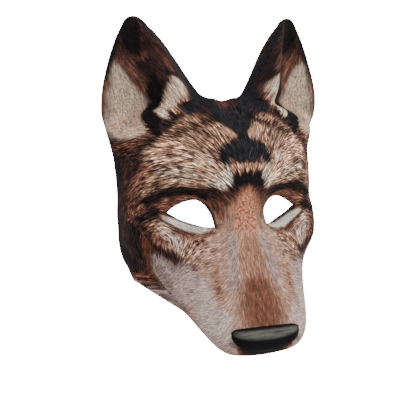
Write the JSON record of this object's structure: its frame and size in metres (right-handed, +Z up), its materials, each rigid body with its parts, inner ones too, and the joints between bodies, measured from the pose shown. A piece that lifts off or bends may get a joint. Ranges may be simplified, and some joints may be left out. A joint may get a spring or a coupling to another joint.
{
  "type": "wolf mask",
  "caption": "Moulded wolf face mask with upright cupped ears, eye openings, a half-moon nose pad and an elastic head strap.",
  "frame": {"origin": "point on the inside of the bridge, midway between the eye openings, where the mask sits on the wearer's face", "axes": "the mask faces -Y, +Z up towards the ears, +X towards the wearer's left ear"},
  "size_m": [0.1952, 0.162, 0.2647],
  "materials": {
    "printed_fabric": "fur-printed fabric moulded on thin foam, faint sheen",
    "nose_vinyl": "soft gloss",
    "elastic": "woven elastic, matt"
  },
  "bodies": {
    "root": {"face_shell": "printed_fabric", "nose_pad": "nose_vinyl", "head_strap": "elastic"}
  },
  "joints": []
}
